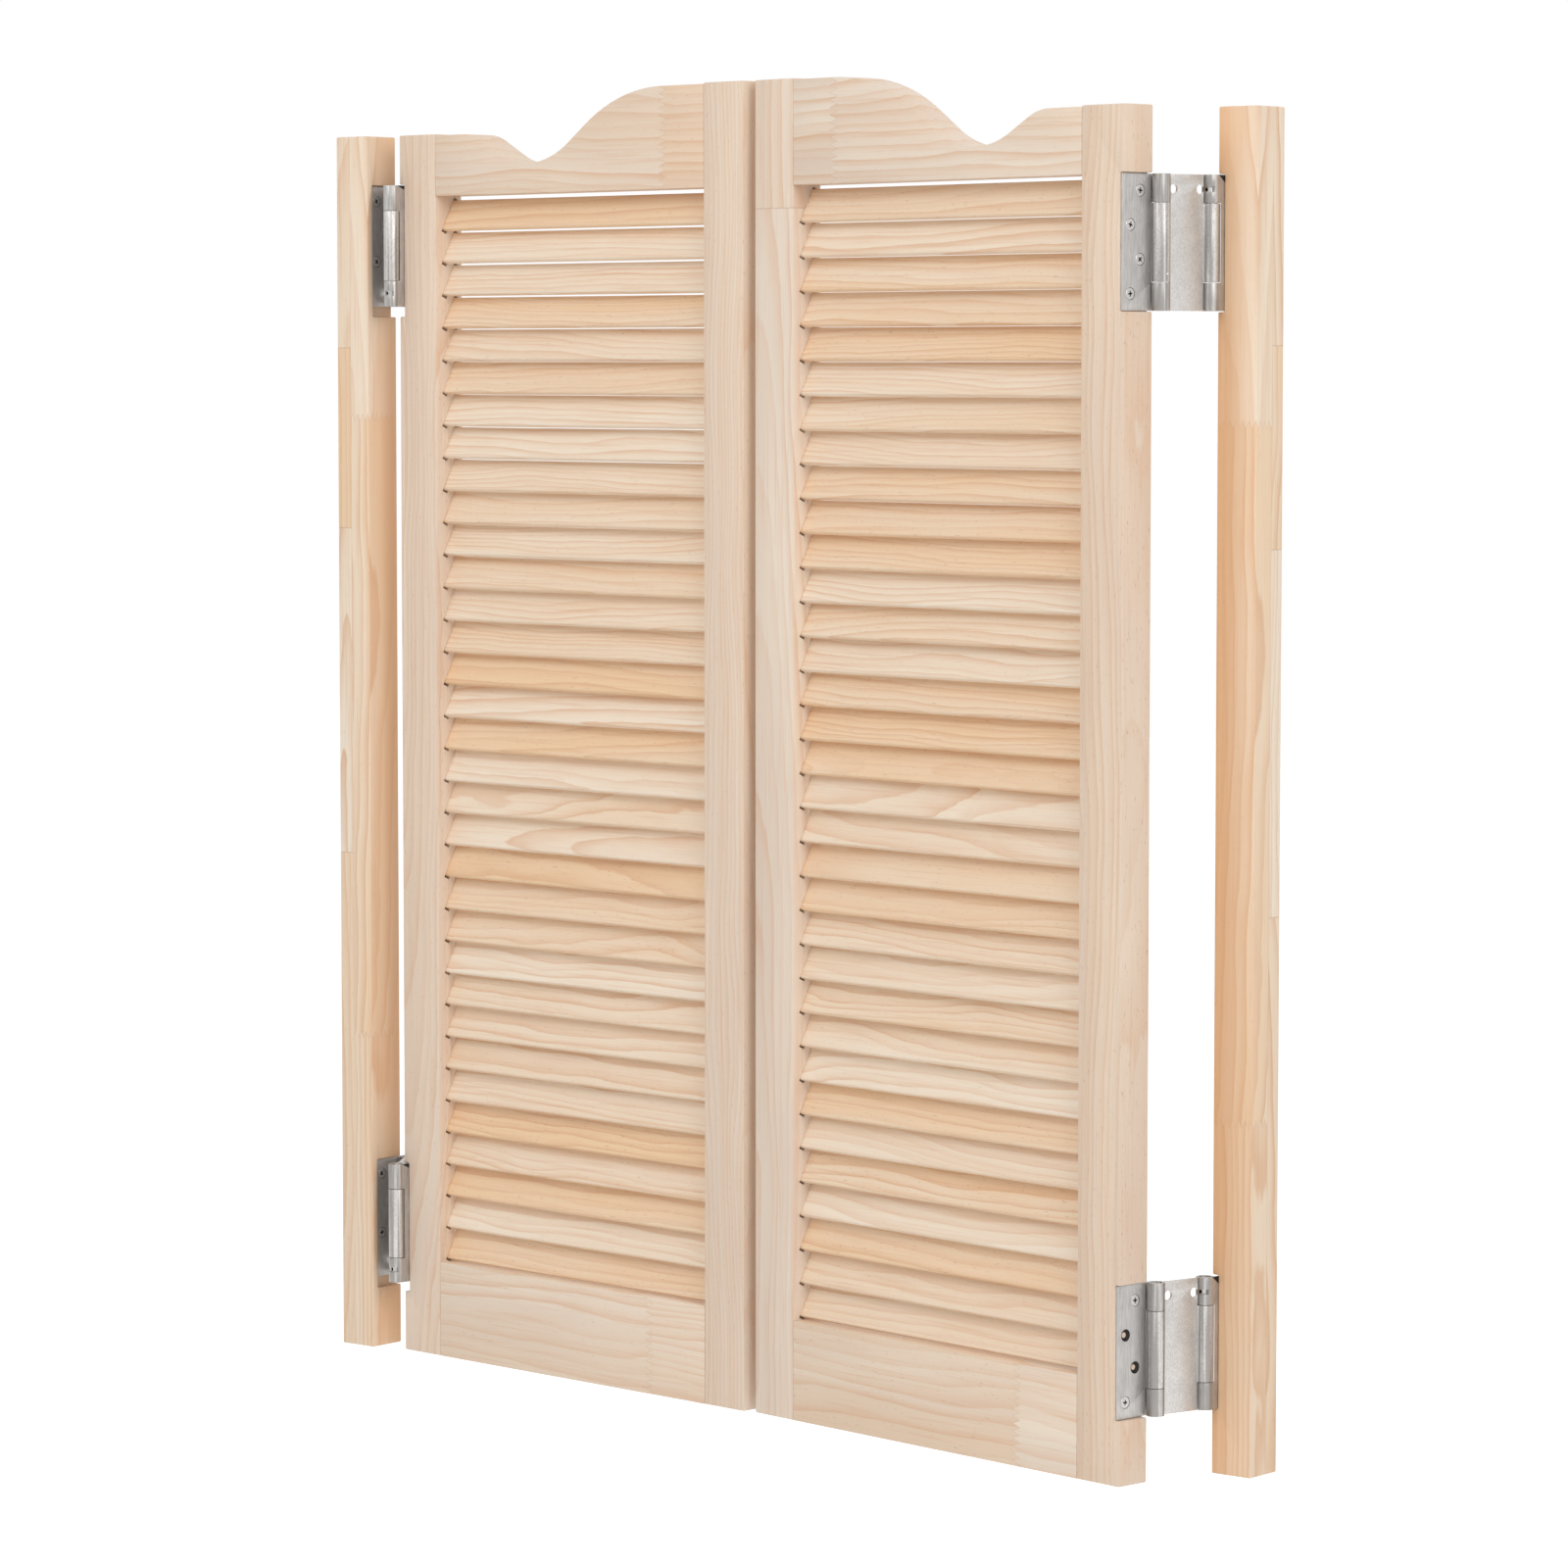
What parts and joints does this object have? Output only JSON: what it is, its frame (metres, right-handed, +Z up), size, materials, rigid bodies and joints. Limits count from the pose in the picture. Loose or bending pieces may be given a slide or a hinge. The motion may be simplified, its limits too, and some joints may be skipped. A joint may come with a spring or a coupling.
{
  "type": "cafe swinging doors",
  "caption": "Pair of louvred wooden swinging cafe doors on double-action spring hinges between two posts.",
  "frame": {"origin": "centre of the left post's face that stands against the wall", "axes": "+X along the wall line to the right post, +Y to the back of the doorway, +Z up"},
  "size_m": [0.946, 0.1394, 1.067],
  "materials": {
    "post": "bare planed pine",
    "stile": "bare planed pine",
    "rail": "bare planed pine",
    "slat": "bare planed pine",
    "hinge": "satin brushed",
    "winder": "turned"
  },
  "bodies": {
    "posts": {"left_post": "post", "left_lower_post_leaf": "hinge", "left_upper_post_leaf": "hinge", "left_post_winders": "winder", "right_post": "post", "right_lower_post_leaf": "hinge", "right_upper_post_leaf": "hinge", "right_post_winders": "winder"},
    "left_hinge_plates": {"left_lower_centre_plate": "hinge", "left_upper_centre_plate": "hinge"},
    "left_door": {"left_outer_stile": "stile", "left_inner_stile": "stile", "left_top_rail": "rail", "left_bottom_rail": "rail", "left_lower_slats": "slat", "left_middle_slats": "slat", "left_upper_slats": "slat", "left_lower_door_leaf": "hinge", "left_upper_door_leaf": "hinge", "left_door_winders": "winder"},
    "right_hinge_plates": {"right_lower_centre_plate": "hinge", "right_upper_centre_plate": "hinge"},
    "right_door": {"right_outer_stile": "stile", "right_inner_stile": "stile", "right_top_rail": "rail", "right_bottom_rail": "rail", "right_lower_slats": "slat", "right_middle_slats": "slat", "right_upper_slats": "slat", "right_lower_door_leaf": "hinge", "right_upper_door_leaf": "hinge", "right_door_winders": "winder"}
  },
  "joints": [
    {"name": "left_post_pivot", "type": "hinge", "parent": "posts", "child": "left_hinge_plates", "pos_m": [0.0375, 0.025, 0], "axis": [0, 0, 1], "range_deg": [-26.4, 148.6]},
    {"name": "left_door_pivot", "type": "hinge", "parent": "left_hinge_plates", "child": "left_door", "pos_m": [0.06225, -0.01554, 0], "axis": [0, 0, 1], "range_deg": [-143.2, 36.8]},
    {"name": "right_post_pivot", "type": "hinge", "parent": "posts", "child": "right_hinge_plates", "pos_m": [0.9085, -0.025, 0], "axis": [0, 0, 1], "range_deg": [-158.8, 16.2]},
    {"name": "right_door_pivot", "type": "hinge", "parent": "right_hinge_plates", "child": "right_door", "pos_m": [0.89525, -0.07061, 0], "axis": [0, 0, 1], "range_deg": [-7.4, 172.6]}
  ]
}
